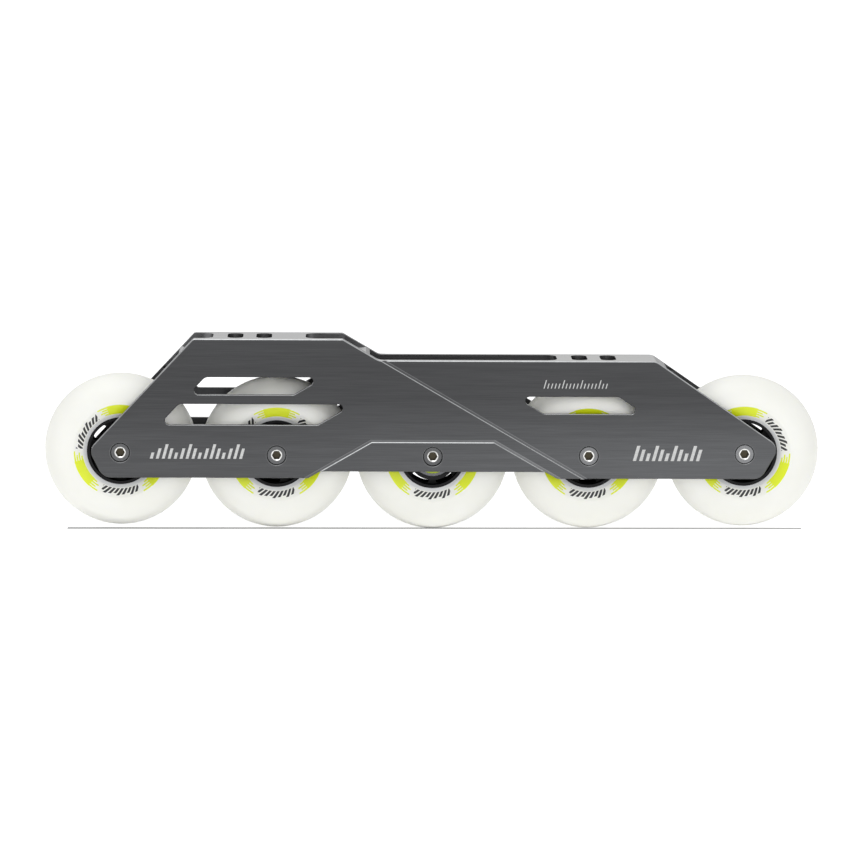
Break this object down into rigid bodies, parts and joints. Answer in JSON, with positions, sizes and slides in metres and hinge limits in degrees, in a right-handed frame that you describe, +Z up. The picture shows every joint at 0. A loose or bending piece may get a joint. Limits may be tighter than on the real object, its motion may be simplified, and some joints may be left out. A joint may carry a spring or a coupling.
{
  "type": "inline skate frame",
  "caption": "Long inline skate frame: a machined alloy channel with stepped boot platforms and slanted windows, holding a row of translucent wheels on screw axles.",
  "frame": {"origin": "on the ground under the middle wheel, halfway across the frame", "axes": "+X points to the toe, +Z up, -Y is the side with the axle heads"},
  "size_m": [0.406, 0.0344, 0.1014],
  "materials": {
    "anodised_plate": "brushed dark grey anodised, with bright cut bevels and pale platform tops",
    "axle_steel": "satin, with a polished socket mouth",
    "urethane": "smooth, slightly translucent milky white",
    "core_plastic": "black, half glossy",
    "spacer_alloy": "plain turned",
    "bearing_steel": "ground",
    "cage_nylon": "moulded",
    "ball_steel": "polished",
    "seal_rubber": "moulded, lime green"
  },
  "bodies": {
    "frame": {"chassis": "anodised_plate", "axle_1": "axle_steel", "axle_2": "axle_steel", "axle_3": "axle_steel", "axle_4": "axle_steel", "axle_5": "axle_steel", "spacer_1": "spacer_alloy", "spacer_2": "spacer_alloy", "spacer_3": "spacer_alloy", "spacer_4": "spacer_alloy", "spacer_5": "spacer_alloy", "inner_rings_1": "bearing_steel", "inner_rings_2": "bearing_steel", "inner_rings_3": "bearing_steel", "inner_rings_4": "bearing_steel", "inner_rings_5": "bearing_steel"},
    "wheel_1": {"tyre_1": "urethane", "core_1": "core_plastic", "outer_rings_1": "bearing_steel", "seals_1": "seal_rubber"},
    "rolling_set_1": {"cages_1": "cage_nylon", "balls_1": "ball_steel"},
    "wheel_2": {"tyre_2": "urethane", "core_2": "core_plastic", "outer_rings_2": "bearing_steel", "seals_2": "seal_rubber"},
    "rolling_set_2": {"cages_2": "cage_nylon", "balls_2": "ball_steel"},
    "wheel_3": {"tyre_3": "urethane", "core_3": "core_plastic", "outer_rings_3": "bearing_steel", "seals_3": "seal_rubber"},
    "rolling_set_3": {"cages_3": "cage_nylon", "balls_3": "ball_steel"},
    "wheel_4": {"tyre_4": "urethane", "core_4": "core_plastic", "outer_rings_4": "bearing_steel", "seals_4": "seal_rubber"},
    "rolling_set_4": {"cages_4": "cage_nylon", "balls_4": "ball_steel"},
    "wheel_5": {"tyre_5": "urethane", "core_5": "core_plastic", "outer_rings_5": "bearing_steel", "seals_5": "seal_rubber"},
    "rolling_set_5": {"cages_5": "cage_nylon", "balls_5": "ball_steel"}
  },
  "joints": [
    {"name": "wheel_1_spin", "type": "hinge", "parent": "frame", "child": "wheel_1", "pos_m": [-0.163, 0, 0.04166], "axis": [0, 1, 0], "continuous": true},
    {"name": "rolling_set_1_spin", "type": "hinge", "parent": "frame", "child": "rolling_set_1", "pos_m": [-0.163, 0, 0.04166], "axis": [0, 1, 0], "continuous": true},
    {"name": "wheel_2_spin", "type": "hinge", "parent": "frame", "child": "wheel_2", "pos_m": [-0.0815, 0, 0.04042], "axis": [0, 1, 0], "continuous": true},
    {"name": "rolling_set_2_spin", "type": "hinge", "parent": "frame", "child": "rolling_set_2", "pos_m": [-0.0815, 0, 0.04042], "axis": [0, 1, 0], "continuous": true},
    {"name": "wheel_3_spin", "type": "hinge", "parent": "frame", "child": "wheel_3", "pos_m": [0, 0, 0.04], "axis": [0, 1, 0], "continuous": true},
    {"name": "rolling_set_3_spin", "type": "hinge", "parent": "frame", "child": "rolling_set_3", "pos_m": [0, 0, 0.04], "axis": [0, 1, 0], "continuous": true},
    {"name": "wheel_4_spin", "type": "hinge", "parent": "frame", "child": "wheel_4", "pos_m": [0.0815, 0, 0.04042], "axis": [0, 1, 0], "continuous": true},
    {"name": "rolling_set_4_spin", "type": "hinge", "parent": "frame", "child": "rolling_set_4", "pos_m": [0.0815, 0, 0.04042], "axis": [0, 1, 0], "continuous": true},
    {"name": "wheel_5_spin", "type": "hinge", "parent": "frame", "child": "wheel_5", "pos_m": [0.163, 0, 0.04166], "axis": [0, 1, 0], "continuous": true},
    {"name": "rolling_set_5_spin", "type": "hinge", "parent": "frame", "child": "rolling_set_5", "pos_m": [0.163, 0, 0.04166], "axis": [0, 1, 0], "continuous": true}
  ],
  "couplings": [
    {"joint": "rolling_set_1_spin", "follows": "wheel_1_spin", "ratio": 0.6323},
    {"joint": "rolling_set_2_spin", "follows": "wheel_2_spin", "ratio": 0.6323},
    {"joint": "rolling_set_3_spin", "follows": "wheel_3_spin", "ratio": 0.6323},
    {"joint": "rolling_set_4_spin", "follows": "wheel_4_spin", "ratio": 0.6323},
    {"joint": "rolling_set_5_spin", "follows": "wheel_5_spin", "ratio": 0.6323}
  ]
}
